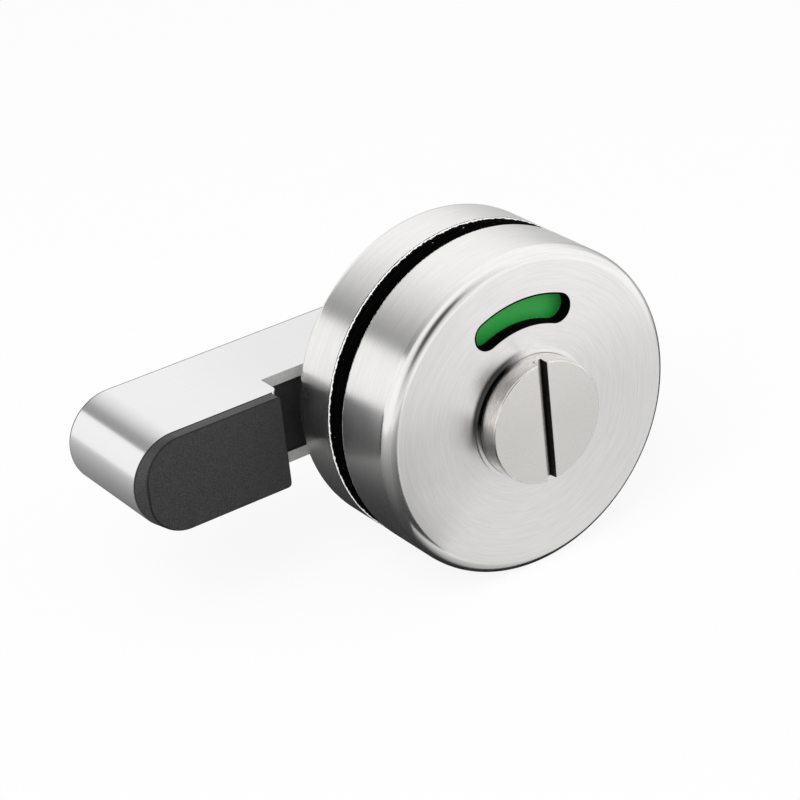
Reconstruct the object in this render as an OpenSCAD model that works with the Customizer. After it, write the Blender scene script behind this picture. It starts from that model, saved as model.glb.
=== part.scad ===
// Toilet indicator bolt: two round roses clamp a door panel, a slotted coin turn shows
// outside, and a swinging lever with a nylon pad latches inside.
// Drawn as seen from outside the cubicle: X right, Y up, Z towards the viewer, with Z = 0
// on the door's outside face. on_door() then stands it up with the spindle along the door.

/* [Roses] */
// Diameter of both roses
rose_d = 52; // [46:1:60]
// Sheet thickness of the pressed covers
cover_wall = 1; // [0.8:0.1:1.4]
// Depth of the outside cover, rim to face
outside_depth = 12; // [11.5:0.5:16]
// Depth of the inside cover, rim to back
inside_depth = 9.1; // [9:0.1:13]
// Outer radius of the outside cover's pressed edge
outside_edge_r = 2; // [1.5:0.1:3]
// Outer radius of the inside cover's pressed edge
inside_edge_r = 1.5; // [1.5:0.1:2.5]

/* [Door] */
// Door panel held between the two gaskets
panel_t = 3; // [3:0.5:20]
// Thickness of each rubber gasket
gasket_t = 1.5; // [1:0.25:2]
// How far each gasket stands out of its cover's rim
gasket_proud = 0.15; // [0.1:0.05:0.5]
// Diameter of the gasket's centre hole, which clears the door's spindle hole
gasket_bore_d = 22; // [18:1:26]

/* [Indicator window] */
// Radius of the window's middle line
window_r = 16.55; // [15.5:0.05:18]
// Radial width of the window
window_w = 4.8; // [3:0.05:5.5]
// Half of the angle between the centres of the window's round ends
window_half_angle = 22.8; // [15:0.1:32]
// Depth of the coloured label below the cover's face
window_depth = 2.2; // [2.1:0.1:3]
// Thickness of the bezel's lip inside the window
bezel_lip = 0.2; // [0.15:0.05:0.5]
// Wall of the bezel under the cover, round the window
bezel_wall = 1; // [0.6:0.1:1.5]
// Thickness of the indicator disc
disc_t = 1.2; // [0.8:0.1:1.6]
// Thickness of the printed labels
label_t = 0.15; // [0.1:0.05:0.3]

/* [Coin turn] */
// Diameter of the slotted knob
knob_d = 19.6; // [16:0.1:22]
// Height of the knob above the cover's face
knob_h = 4; // [2.5:0.1:6]
// Width of the coin slot
slot_w = 1.65; // [1.2:0.05:2.5]
// Depth of the coin slot
slot_depth = 1.5; // [1:0.1:2.4]
// Width of the drawn collar round the knob's hole
collar_w = 0.6; // [0.4:0.1:1]
// Height of the drawn collar
collar_h = 0.5; // [0.3:0.1:1]
// Thickness of the hidden flange that keeps the knob in its hole
flange_t = 1; // [0.8:0.1:1.2]

/* [Lever] */
// Height of the lever, which is also the diameter of its round ends
lever_h = 15.3; // [13:0.1:18]
// Wall of the lever's shell
lever_wall = 1.8; // [1.2:0.1:2.2]
// Depth of the lever behind the rose
lever_depth = 15.2; // [12:0.1:20]
// Gap between the inside rose and the lever
lever_gap = 1.7; // [1:0.1:3]
// Gap between the rose's side and the latching tab
tab_gap = 4.2; // [3:0.1:10]
// Straight length of the latching tab, up to the round tip's centre
tab_straight = 18.6; // [12:0.1:30]
// How far the latching tab reaches towards the door past the lever's root
tab_rise = 4.7; // [2:0.1:6]
// How far the nylon pad stands out of the shell
pad_proud = 2.1; // [1:0.1:3]
// How far the pad's end stays behind the tab's end
pad_setback = 1.1; // [0.5:0.1:3]
// How far the pad's nose leans back between its base and its face
nose_lead = 1.4; // [0.5:0.05:3]
// Radius along the lever's back edge
lever_edge_r = 0.5; // [0.4:0.1:1.4]
// Radius of the tab's front corner
tab_corner_r = 0.8; // [0.4:0.1:3]
// Corner radius of the pad's end beside the rose
pad_corner_r = 0.7; // [0.4:0.1:3]
// Depth of the black filling below the shell's edge, beside the tab
fill_setback = 0.5; // [0.2:0.1:2]

/* [Works] */
// Width across the square spindle
spindle_af = 5; // [4:0.5:5.5]
// Diameter of the two turning journals
journal_d = 10.4; // [9.6:0.1:11]
// Thickness of both base plates
base_t = 3; // [2.5:0.25:3.5]
// Distance from the rose's side to each fixing screw's centre
screw_edge = 7; // [6.5:0.1:9]
// Thread diameter of the fixing screws
screw_d = 4; // [3:0.5:5]
// Thread diameter of the lever's grub screw
grub_d = 4; // [3:0.5:5]
// Wall of the nylon bush round the lever's journal
bush_wall = 1.4; // [1:0.1:2]
// Angle of the quarter turn between the two stops
turn_angle = 90; // [60:1:110]

/* [Hidden] */
$fn = 64;

// Clearances
press_gap = 0.05;    // pressed and screwed fits
run_gap = 0.05;      // journals in their bores
slide_gap = 0.1;     // axial play and square sockets
swing_gap = 0.3;     // between pieces that pass each other
cut = 1;             // how far a cutter runs past what it cuts
skin = 0.01;         // thickness of a slice that a loft starts or ends on

// Roses
rose_r = rose_d / 2;
cover_bore_r = rose_r - cover_wall;
inner_edge_step = cover_wall / 2;
base_r = cover_bore_r - press_gap;
outside_face_z = gasket_proud + outside_depth;
outside_ceiling_z = outside_face_z - cover_wall;
outside_plate_z = gasket_t + base_t;
inside_seat_z = -panel_t;
inside_back_z = inside_seat_z - gasket_proud - inside_depth;
inside_plate_z = inside_seat_z - gasket_t - base_t;

// Indicator disc and coin turn
knob_r = knob_d / 2;
knob_hole_gap = 0.1;
knob_hole_r = knob_r + knob_hole_gap;
knob_chamfer = 0.3;
flange_reach = 1.6;
flange_r = knob_r + flange_reach;
flange_z = outside_ceiling_z - slide_gap - flange_t;
label_z = outside_face_z - window_depth - label_t;
disc_z = label_z - disc_t;
bezel_end_z = label_z + label_t + swing_gap;
label_margin = 1.7;
disc_margin = 0.3;
label_in_r = window_r - window_w / 2 - label_margin;
label_out_r = window_r + window_w / 2 + label_margin;
disc_r = label_out_r + disc_margin;
disc_boss_wall = 1.8;
disc_boss_r = journal_d / 2 + disc_boss_wall;
flat_depth = 0.8;
flat_af = journal_d - 2 * flat_depth;

// Journals, sleeves and circlips
journal_r = journal_d / 2;
bore_r = journal_r + run_gap;
sleeve_wall = 2.4;
sleeve_r = bore_r + sleeve_wall;
sleeve_top_z = disc_z - swing_gap;
boss_setback = 0.2;
boss_wall = 1.6;
boss_r = bore_r + bush_wall + boss_wall;
clip_t = 0.8;
clip_groove = 0.5;
clip_reach = 2;
clip_r = journal_r + clip_reach;
clip_lug_r = 1.2;
clip_band_step = 0.6;
clip_open = 50;
clip_trim = 4;
tail_end = 0.5;
outside_clip_z = boss_setback - slide_gap - clip_t;
coin_stem_end_z = outside_clip_z - tail_end;
inside_clip_z = inside_seat_z - boss_setback + slide_gap;
hub_end_z = inside_clip_z + clip_t + tail_end;

// Lever hub, bush and stops
bush_flange_t = 0.8;
bush_flange_r = boss_r;
bush_back_z = inside_plate_z - bush_flange_t;
washer_t = 0.35;
washer_h = 0.6;
cam_t = 1.4;
cam_r = bush_flange_r;
cam_front_z = bush_back_z - washer_h - run_gap;
cam_back_z = cam_front_z - cam_t;
lug_reach = 4;
lug_r = cam_r + lug_reach;
lug_half_angle = 12;
lug_angle = 135;
stop_half_angle = 10;
stop_gap = 0.8;
stop_in_r = cam_r + stop_gap;
stop_out_r = lug_r + stop_gap;
stop_t = bush_flange_t + washer_h + cam_t;
stop_play = 1;

// Lever
lever_r = lever_h / 2;
lever_cavity_r = lever_r - lever_wall;
notch_z = inside_back_z - lever_gap;
lever_back_z = notch_z - lever_depth;
lever_floor_z = lever_back_z + lever_wall;
tab_x = rose_r + tab_gap;
tip_x = tab_x + tab_straight;
tab_z = notch_z + tab_rise;
pad_x = tab_x + pad_setback;
pad_z = tab_z + pad_proud;
insert_r = lever_cavity_r - press_gap;
hub_tail_r = lever_cavity_r - 2 * press_gap;
hub_shoulder_edge = 0.3;
hub_shoulder_r = lever_r - hub_shoulder_edge;
hub_hole_step = 0.8;
hub_hole_r = hub_shoulder_r - hub_hole_step;
insert_hub_gap = 2;
insert_end_x = lever_cavity_r + insert_hub_gap;
grub_sunk = 0.4;
grub_z = (notch_z + lever_floor_z) / 2;

// Spindle
socket_af = spindle_af + slide_gap;
spindle_headroom = 2.4;
spindle_top_z = flange_z - spindle_headroom;
spindle_footroom = 3;
spindle_end_z = lever_floor_z + spindle_footroom;

// Fixing screws and their threaded posts
screw_x = rose_r - screw_edge;
screw_r = screw_d / 2;
screw_head_ratio = 1.9;
screw_head_r = screw_r * screw_head_ratio;
screw_key_ratio = 0.72;
grub_r = grub_d / 2;
grub_key_ratio = 0.58;
post_wall = 1;
post_r = screw_r + post_wall;
post_head_wall = 2.2;
post_head_r = screw_r + post_head_wall;
post_top_z = disc_z - 2 * swing_gap;
post_cap = 0.6;
post_bore_top_z = post_top_z - post_cap;
screw_end_z = post_bore_top_z - swing_gap;
screw_hole_gap = 0.2;
screw_hole_r = screw_r + screw_hole_gap;
gasket_hole_gap = 0.6;
gasket_hole_r = screw_r + gasket_hole_gap;

// Stands the drawing up: the viewer's side becomes -Y and up becomes +Z
module on_door() { rotate([90, 0, 0]) children(); }

// A round bar or disc between two heights
module bar(r, z_low, z_high) { translate([0, 0, z_low]) cylinder(r = r, h = z_high - z_low); }

// A square bar between two heights
module square_bar(af, z_low, z_high) {
  translate([0, 0, (z_low + z_high) / 2]) cube([af, af, z_high - z_low], center = true);
}

// Part of a flat ring, centred on an angle
module ring_sector(r_in, r_out, z_low, z_high, mid_angle, half_angle) {
  translate([0, 0, z_low]) rotate([0, 0, mid_angle - half_angle])
    rotate_extrude(angle = 2 * half_angle)
      translate([r_in, 0]) square([r_out - r_in, z_high - z_low]);
}

// Half section of a disc with a round top edge
module round_top_section(r, h, edge_r) {
  square([r - edge_r, h]);
  square([r, h - edge_r]);
  translate([r - edge_r, h - edge_r]) circle(edge_r);
}

// A pressed cap that opens downwards, with its rim at Z = 0
module pressed_cap(r, depth, edge_r, hole_r) {
  rotate_extrude() difference() {
    round_top_section(r, depth, edge_r);
    translate([0, -cut])
      round_top_section(r - cover_wall, depth - cover_wall + cut, edge_r - inner_edge_step);
    translate([0, -cut]) square([hole_r, depth + 2 * cut]);
  }
}

// Two places on the screws' centres
module at_screws() { for (side = [-1, 1]) translate([side * screw_x, 0, 0]) children(); }

// The curved window's outline between two heights, grown or shrunk all round
module window_bean(grow, z_low, z_high) {
  half_w = window_w / 2 + grow;
  ring_sector(window_r - half_w, window_r + half_w, z_low, z_high, 90, window_half_angle);
  for (side = [-1, 1]) rotate([0, 0, 90 + side * window_half_angle])
    translate([window_r, 0, 0]) bar(half_w, z_low, z_high);
}

// Pressed stainless cap with the window and the coin turn's collared hole
module outside_cover() {
  color("silver") on_door() difference() {
    union() {
      translate([0, 0, gasket_proud])
        pressed_cap(rose_r, outside_depth, outside_edge_r, knob_hole_r);
      translate([0, 0, outside_ceiling_z]) rotate_extrude()
        translate([knob_hole_r, 0]) square([collar_w, cover_wall + collar_h]);
    }
    window_bean(0, outside_ceiling_z - cut, outside_face_z + cut);
  }
}

// Nylon frame behind the cover, whose thin lip lines the window
module window_bezel() {
  color([0.08, 0.08, 0.08]) on_door() difference() {
    union() {
      window_bean(bezel_wall, bezel_end_z, outside_ceiling_z);
      window_bean(-press_gap, bezel_end_z, outside_face_z);
    }
    window_bean(-press_gap - bezel_lip, bezel_end_z - cut, outside_face_z + cut);
  }
}

// Nylon sub-rose that carries the coin turn's journal and the threaded posts
module outside_base() {
  color("dimgray") on_door() difference() {
    union() {
      bar(base_r, gasket_t, outside_plate_z);
      bar(sleeve_r, outside_plate_z - cut, sleeve_top_z);
      bar(boss_r, boss_setback, gasket_t + cut);
    }
    bar(bore_r, boss_setback - cut, sleeve_top_z + cut);
    at_screws() bar(post_r + press_gap, gasket_t - cut, outside_plate_z + cut);
  }
}

// Rubber ring that seals a rose on the door
module gasket_ring(z_low) {
  difference() {
    bar(base_r, z_low, z_low + gasket_t);
    bar(gasket_bore_d / 2, z_low - cut, z_low + gasket_t + cut);
    at_screws() bar(gasket_hole_r, z_low - cut, z_low + gasket_t + cut);
  }
}

module outside_gasket() { color("black") on_door() gasket_ring(0); }

module inside_gasket() { color("black") on_door() gasket_ring(inside_seat_z - gasket_t); }

// Headed steel sleeves that take the fixing screws
module threaded_posts() {
  color("lightgray") on_door() at_screws() difference() {
    union() {
      bar(post_r, gasket_t, outside_plate_z);
      bar(post_head_r, outside_plate_z, post_top_z);
    }
    bar(screw_r + press_gap, gasket_t - cut, post_bore_top_z);
  }
}

// Slotted knob, its hidden flange and its stem in one turned piece
module coin_turn() {
  top_z = outside_face_z + knob_h;
  color("gainsboro") on_door() difference() {
    union() {
      bar(knob_r, flange_z, top_z - knob_chamfer);
      translate([0, 0, top_z - knob_chamfer])
        cylinder(r1 = knob_r, r2 = knob_r - knob_chamfer, h = knob_chamfer);
      bar(flange_r, flange_z, flange_z + flange_t);
      bar(journal_r, coin_stem_end_z, flange_z + flange_t);
    }
    translate([0, 0, top_z]) cube([slot_w, knob_d + cut, 2 * slot_depth], center = true);
    square_bar(socket_af, coin_stem_end_z - cut, spindle_top_z + slide_gap);
    for (side = [-1, 1]) translate([side * (flat_af + journal_d) / 2, 0, 0])
      translate([0, 0, (disc_z + flange_z) / 2])
        cube([journal_d, 2 * journal_d, flange_z - disc_z], center = true);
    clip_groove_cut(outside_clip_z);
  }
}

// Groove for a circlip whose lower face is at z_low
module clip_groove_cut(z_low) {
  difference() {
    bar(journal_r + cut, z_low - run_gap, z_low + clip_t + run_gap);
    bar(journal_r - clip_groove, z_low - cut, z_low + clip_t + cut);
  }
}

// Disc keyed to the stem's two flats
module indicator_disc() {
  color("black") on_door() difference() {
    union() {
      bar(disc_r, disc_z, label_z);
      bar(disc_boss_r, disc_z, flange_z - run_gap);
    }
    intersection() {
      bar(bore_r, disc_z - cut, flange_z + cut);
      translate([0, 0, disc_z])
        cube([flat_af + slide_gap, 2 * journal_d, 2 * (flange_z - disc_z) + cut], center = true);
    }
  }
}

// Printed quarter of the disc's face
module quarter_label(mid_angle) {
  ring_sector(label_in_r, label_out_r, label_z, label_z + label_t, mid_angle, turn_angle / 2);
}

module green_label() { color("green") on_door() quarter_label(90); }

module red_label() { color("firebrick") on_door() quarter_label(90 + turn_angle); }

// Open retaining ring with two eared ends
module circlip(z_low) {
  in_r = journal_r - clip_groove + run_gap;
  ear_r = clip_r - clip_lug_r;
  ring_sector(in_r, clip_r - clip_band_step, z_low, z_low + clip_t,
              90, 180 - clip_trim - clip_open / 2);
  for (side = [-1, 1]) rotate([0, 0, -90 + side * clip_open / 2]) difference() {
    translate([ear_r, 0, 0]) bar(clip_lug_r, z_low, z_low + clip_t);
    translate([ear_r, 0, 0]) bar(clip_lug_r / 2, z_low - cut, z_low + clip_t + cut);
  }
}

module coin_turn_circlip() { color("slategray") on_door() circlip(outside_clip_z); }

module hub_circlip() { color("slategray") on_door() circlip(inside_clip_z); }

// Square bar that joins the coin turn to the lever
module spindle() {
  color("gray") on_door() square_bar(spindle_af, spindle_end_z, spindle_top_z);
}

// Pressed stainless cap with a plain hole for the lever's hub
module inside_cover() {
  color("silver") on_door() translate([0, 0, inside_seat_z - gasket_proud]) mirror([0, 0, 1])
    pressed_cap(rose_r, inside_depth, inside_edge_r, hub_hole_r);
}

// Nylon sub-rose with the bush's seat, countersunk screw holes and two stops
module inside_base() {
  stop_angle = lug_half_angle + stop_half_angle + stop_play;
  plate_front_z = inside_seat_z - gasket_t;
  seat_r = bore_r + bush_wall + press_gap;
  color("dimgray") on_door() difference() {
    union() {
      bar(base_r, inside_plate_z, plate_front_z);
      bar(boss_r, plate_front_z - cut, inside_seat_z - boss_setback);
      for (mid = [lug_angle + stop_angle, lug_angle - turn_angle - stop_angle])
        ring_sector(stop_in_r, stop_out_r, inside_plate_z - stop_t, inside_plate_z + cut,
                    mid, stop_half_angle);
    }
    bar(seat_r, inside_plate_z - cut, inside_seat_z);
    at_screws() bar(screw_hole_r, inside_plate_z - cut, plate_front_z + cut);
    at_screws() countersink(inside_plate_z, screw_head_r + press_gap, screw_hole_r);
  }
}

// Cone of a countersunk head whose wide end is at z_low
module countersink(z_low, wide_r, narrow_r) {
  translate([0, 0, z_low]) cylinder(r1 = wide_r, r2 = narrow_r, h = wide_r - narrow_r);
}

// Countersunk machine screws with hexagon sockets
module fixing_screws() {
  color("lightgray") on_door() at_screws() difference() {
    union() {
      bar(screw_r, inside_plate_z + run_gap, screw_end_z);
      countersink(inside_plate_z + run_gap, screw_head_r - press_gap, screw_r);
    }
    translate([0, 0, inside_plate_z]) cylinder(r = screw_r * screw_key_ratio, h = screw_r, $fn = 6);
  }
}

// Flanged nylon bush that the lever's journal turns in
module hub_bush() {
  color("ivory") on_door() difference() {
    union() {
      bar(bore_r + bush_wall, inside_plate_z - run_gap, inside_seat_z - boss_setback);
      bar(bush_flange_r, bush_back_z, inside_plate_z - run_gap);
    }
    bar(bore_r, bush_back_z - cut, inside_seat_z);
  }
}

// Turned hub: journal, stop cam, shoulder on the lever and square socket
module lever_hub() {
  color("gainsboro") on_door() difference() {
    union() {
      bar(journal_r, notch_z, hub_end_z);
      bar(cam_r, cam_back_z, cam_front_z);
      ring_sector(cam_r - cut, lug_r, cam_back_z, cam_front_z, lug_angle, lug_half_angle);
      bar(hub_hole_r - swing_gap, inside_back_z - swing_gap, cam_back_z);
      bar(hub_shoulder_r, notch_z, inside_back_z - swing_gap);
      bar(hub_tail_r, lever_floor_z, notch_z);
    }
    square_bar(socket_af, spindle_end_z - slide_gap, hub_end_z + cut);
    clip_groove_cut(inside_clip_z);
    grub_hole(grub_r + press_gap);
  }
}

// Radial hole for the grub screw, from under the lever to the spindle
module grub_hole(r) {
  translate([0, 0, grub_z]) rotate([90, 0, 0]) cylinder(r = r, h = lever_h);
}

// Conical spring washer that keeps the lever from rattling
module spring_washer() {
  in_r = bore_r + run_gap;
  color("slategray") on_door() translate([0, 0, bush_back_z - run_gap]) rotate_extrude()
    polygon([[in_r, 0], [bush_flange_r, washer_t - washer_h], [bush_flange_r, -washer_h],
             [in_r, -washer_t]]);
}

// Half section of the lever across its height, with round back edges
module lever_section() {
  mirror([0, 1]) round_top_section(lever_r, lever_depth + tab_rise, lever_edge_r);
}

// The lever's outer body before it is hollowed
module lever_blank() {
  translate([0, 0, tab_z]) {
    for (x = [-tip_x, 0]) translate([x, 0, 0]) rotate_extrude() lever_section();
    translate([-tip_x, 0, 0]) rotate([90, 0, 90]) linear_extrude(tip_x) {
      lever_section();
      mirror([1, 0]) lever_section();
    }
  }
}

// A bar with round ends, along the lever
module stadium(r, x_tip, x_root, z_low, z_high) {
  for (x = [-x_tip, -x_root]) translate([x, 0, 0]) bar(r, z_low, z_high);
  translate([-x_tip, -r, z_low]) cube([x_tip - x_root, 2 * r, z_high - z_low]);
}

// What is cut away beside the tab so that the lever clears the rose
module notch_cut() {
  translate([-tab_x, -lever_h, notch_z]) cube([tip_x, 2 * lever_h, tab_rise + cut]);
  translate([-tab_x - tab_corner_r, 0, tab_z - tab_corner_r]) rotate([90, 0, 0])
    translate([0, 0, -lever_h]) linear_extrude(2 * lever_h) difference() {
      square(tab_corner_r + cut);
      circle(tab_corner_r);
    }
}

// Cast stainless lever, open towards the door
module lever_shell() {
  color("silver") on_door() difference() {
    lever_blank();
    stadium(lever_cavity_r, tip_x, 0, lever_floor_z, tab_z + cut);
    notch_cut();
    grub_hole(grub_r + press_gap);
  }
}

// Black nylon filling and the pad that bears on the door frame, in one moulding
module lever_insert() {
  fill_z = notch_z - fill_setback;
  color([0.16, 0.16, 0.17]) on_door() {
    difference() {
      stadium(insert_r, tip_x, 0, lever_floor_z, tab_z);
      translate([-tab_x, -lever_h, fill_z]) cube([tip_x, 2 * lever_h, lever_h + tab_rise]);
      translate([-insert_end_x, -lever_h, lever_floor_z - cut])
        cube([lever_h + insert_end_x, 2 * lever_h, lever_depth + tab_rise + 2 * cut]);
    }
    pad();
  }
}

// One level of the pad: round nose, set back by a lead, and small corners at the rose's end
module pad_slice(z_low, lead) {
  translate([lead - tip_x, 0, 0]) bar(lever_r, z_low, z_low + skin);
  for (side = [-1, 1]) translate([-pad_x - pad_corner_r, side * (lever_r - pad_corner_r), 0])
    bar(pad_corner_r, z_low, z_low + skin);
}

// The pad, whose nose leans back towards its face as a lead-in
module pad() {
  $fn = 32;
  hull() {
    pad_slice(tab_z, 0);
    pad_slice(pad_z - skin, nose_lead);
  }
}

// Socket grub screw that locks the lever on the spindle
module lever_grub_screw() {
  head_y = lever_r - grub_sunk;
  color("dimgray") on_door() translate([0, -head_y, grub_z]) rotate([-90, 0, 0]) difference() {
    cylinder(r = grub_r, h = head_y - spindle_af / 2 - run_gap);
    translate([0, 0, -cut]) cylinder(r = grub_r * grub_key_ratio, h = cut + grub_r, $fn = 6);
  }
}

outside_cover();
window_bezel();
outside_base();
outside_gasket();
threaded_posts();
coin_turn();
indicator_disc();
green_label();
red_label();
coin_turn_circlip();
spindle();
inside_cover();
inside_base();
inside_gasket();
fixing_screws();
hub_bush();
lever_hub();
hub_circlip();
spring_washer();
lever_shell();
lever_insert();
lever_grub_screw();
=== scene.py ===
# %% [markdown]
# # A toilet indicator bolt
# Two pressed stainless roses clamp a door panel between them. Outside, a slotted coin turn and a curved
# window say whether the cubicle is free. Inside, a hollow steel lever with a nylon pad swings behind the
# door frame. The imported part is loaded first: it fixes the size and place of every piece, and this script
# only models the shown pieces finely and gives each one its finish.

# %% Load the part
import math

import bmesh
import bpy
from mathutils import Matrix, Vector


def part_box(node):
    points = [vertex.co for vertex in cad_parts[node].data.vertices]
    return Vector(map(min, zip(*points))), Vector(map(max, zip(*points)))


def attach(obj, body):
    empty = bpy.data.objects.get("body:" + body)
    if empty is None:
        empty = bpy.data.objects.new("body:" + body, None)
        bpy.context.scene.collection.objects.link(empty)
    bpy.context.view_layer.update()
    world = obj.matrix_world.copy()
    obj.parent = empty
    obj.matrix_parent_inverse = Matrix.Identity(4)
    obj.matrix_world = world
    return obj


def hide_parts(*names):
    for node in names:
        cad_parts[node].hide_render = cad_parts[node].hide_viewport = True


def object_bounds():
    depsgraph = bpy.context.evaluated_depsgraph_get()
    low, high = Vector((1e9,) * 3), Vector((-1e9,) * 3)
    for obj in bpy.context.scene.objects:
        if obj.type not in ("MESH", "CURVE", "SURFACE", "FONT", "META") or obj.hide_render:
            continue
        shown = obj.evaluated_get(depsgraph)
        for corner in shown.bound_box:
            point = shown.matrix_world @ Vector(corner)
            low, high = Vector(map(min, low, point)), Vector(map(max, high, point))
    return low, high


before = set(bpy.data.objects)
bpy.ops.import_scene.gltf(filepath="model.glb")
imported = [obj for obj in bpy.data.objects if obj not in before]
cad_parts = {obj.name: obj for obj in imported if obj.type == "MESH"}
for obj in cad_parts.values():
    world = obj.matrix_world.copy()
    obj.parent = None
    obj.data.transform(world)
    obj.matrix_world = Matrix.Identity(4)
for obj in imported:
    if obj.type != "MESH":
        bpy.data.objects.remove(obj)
cad_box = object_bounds()
MM = 0.001
print("box in mm:", [[round(value / MM, 2) for value in corner] for corner in cad_box])

# %% [markdown]
# The picture was taken with a long lens, from the left of the outside rose and from above it, with the
# camera rolled a few degrees. A place, three turns and a focal length are all that a camera needs. The
# lens is long because the two roses look almost equally large, though one stands behind the other.

# %% Camera
CAMERA_PLACE = (-209.25 * MM, -311.44 * MM, 190.48 * MM)
CAMERA_TURN = (62.864, 5.740, -34.878)
LENS_MM = 124.16
SENSOR_MM = 36.0
camera_data = bpy.data.cameras.new("photo_camera")
camera_data.lens = LENS_MM
camera_data.sensor_width = SENSOR_MM
camera_data.clip_start = 10 * MM
camera = bpy.data.objects.new("photo_camera", camera_data)
camera.location = CAMERA_PLACE
camera.rotation_euler = [math.radians(turn) for turn in CAMERA_TURN]
bpy.context.scene.collection.objects.link(camera)
bpy.context.scene.camera = camera
looks_along = camera.rotation_euler.to_matrix() @ Vector((0, 0, -1))
print("camera looks along", [round(value, 3) for value in looks_along])

# %% [markdown]
# Every piece is shaped as by hand: a primitive, then edit mode, then operators on what is selected. These
# helpers hold the habits that never change: start with nothing selected, select parts by where they lie,
# and close with merged doubles and outward normals. Places within two microns of each other count as one.

# %% Helpers for modelling by hand
MICRON = 0.001 * MM


def near(first, second):
    """True if two lengths are the same to two microns."""
    return abs(first - second) < 2 * MICRON


def lies_at(part, y):
    """True if all of an edge or face lies in the plane at y."""
    return all(near(vert.co.y, y) for vert in part.verts)


def only(piece):
    """Makes one object the selected and active one."""
    bpy.ops.object.select_all(action="DESELECT")
    piece.select_set(True)
    bpy.context.view_layer.objects.active = piece


def edit(piece):
    """Opens one object in edit mode."""
    only(piece)
    bpy.ops.object.mode_set(mode="EDIT")


def pick(kind, test):
    """In edit mode, selects the vertices, edges or faces that pass a test, and nothing else."""
    bpy.ops.mesh.select_mode(type=kind)
    bpy.ops.mesh.select_all(action="DESELECT")
    cage = bmesh.from_edit_mesh(bpy.context.edit_object.data)
    parts = {"VERT": cage.verts, "EDGE": cage.edges, "FACE": cage.faces}[kind]
    chosen = [part for part in parts if test(part)]
    for part in chosen:
        part.select_set(True)
    cage.select_flush_mode()
    bmesh.update_edit_mesh(bpy.context.edit_object.data)
    return len(chosen)


def push(y_shift):
    """Extrudes what is selected along the spindle."""
    bpy.ops.mesh.extrude_region_move(TRANSFORM_OT_translate={"value": (0, y_shift, 0)})


def round_bar(name, radius, y_start, y_end, sides, x=0.0):
    """A round bar along the spindle, turned half a step so that no corner is at its very top."""
    bpy.ops.object.select_all(action="DESELECT")
    bpy.ops.mesh.primitive_cylinder_add(
        vertices=sides, radius=radius, depth=abs(y_end - y_start),
        location=(x, (y_start + y_end) / 2, 0), rotation=(math.radians(90), math.pi / sides, 0))
    bar = bpy.context.active_object
    bar.name = name
    bar.data.name = name
    bpy.ops.object.transform_apply(location=True, rotation=True, scale=True)
    return bar


def block(low, high):
    """A cutter with square corners between two opposite corners."""
    bpy.ops.object.select_all(action="DESELECT")
    low, high = Vector(low), Vector(high)
    bpy.ops.mesh.primitive_cube_add(size=1, location=(low + high) / 2, scale=high - low)
    cutter = bpy.context.active_object
    bpy.ops.object.transform_apply(location=True, rotation=True, scale=True)
    return cutter


def combine(piece, tool, operation="DIFFERENCE"):
    """Cuts a piece with a tool, or joins or intersects the two, and throws the tool away."""
    work = piece.modifiers.new("work", "BOOLEAN")
    work.operation = operation
    work.solver = "EXACT"
    work.object = tool
    only(piece)
    bpy.ops.object.modifier_apply(modifier=work.name)
    bpy.data.objects.remove(tool)


def ease_edges(piece, width, least_angle=50.0, segments=2, where=lambda edge: True):
    """Rounds the sharp edges of a piece a little, as a deburring wheel does."""
    edit(piece)
    pick("EDGE", lambda edge: edge.calc_face_angle(0) > math.radians(least_angle) and where(edge))
    bpy.ops.mesh.bevel(offset=width, segments=segments, affect="EDGES", clamp_overlap=True)
    bpy.ops.object.mode_set(mode="OBJECT")


def close_up(piece, smooth_angle=35.0):
    """Merges doubles, turns normals outwards and shades flats flat and rounds round."""
    edit(piece)
    bpy.ops.mesh.select_all(action="SELECT")
    bpy.ops.mesh.remove_doubles(threshold=MICRON)
    bpy.ops.mesh.normals_make_consistent(inside=False)
    bpy.ops.object.mode_set(mode="OBJECT")
    bpy.ops.object.shade_smooth_by_angle(angle=math.radians(smooth_angle))
    weights = piece.modifiers.new("weights", "WEIGHTED_NORMAL")
    weights.keep_sharp = True
    bpy.ops.object.modifier_apply(modifier=weights.name)
    cage = bmesh.new()
    cage.from_mesh(piece.data)
    open_edges = sum(1 for edge in cage.edges if not edge.is_manifold)
    cage.free()
    print(f"{piece.name}: {len(piece.data.polygons)} faces, {open_edges} open edges")


def seat(piece, body, slot, *nodes):
    """The piece rides on a body and stands for the nodes named, which are hidden. The slot is not used."""
    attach(piece, body)
    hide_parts(*nodes)


print("helpers ready")

# %% [markdown]
# Each rose is a cap pressed from one millimetre stainless sheet. It could be a profile spun round an axis,
# but a bar that is bevelled at one end and hollowed from the other follows how the press works: the
# punch radius is the bevel, the sheet is the inset. The hole is opened by bridging the two faces. The
# open rim's outer edge is eased more widely than the rest, because the shears round it over.

# %% Pressed cap
COVER_WALL = 1.0 * MM
ROSE_SIDES = 192
EDGE_SEGMENTS = 8
BURR = 0.12 * MM
RIM_EASE = 0.36 * MM


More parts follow.
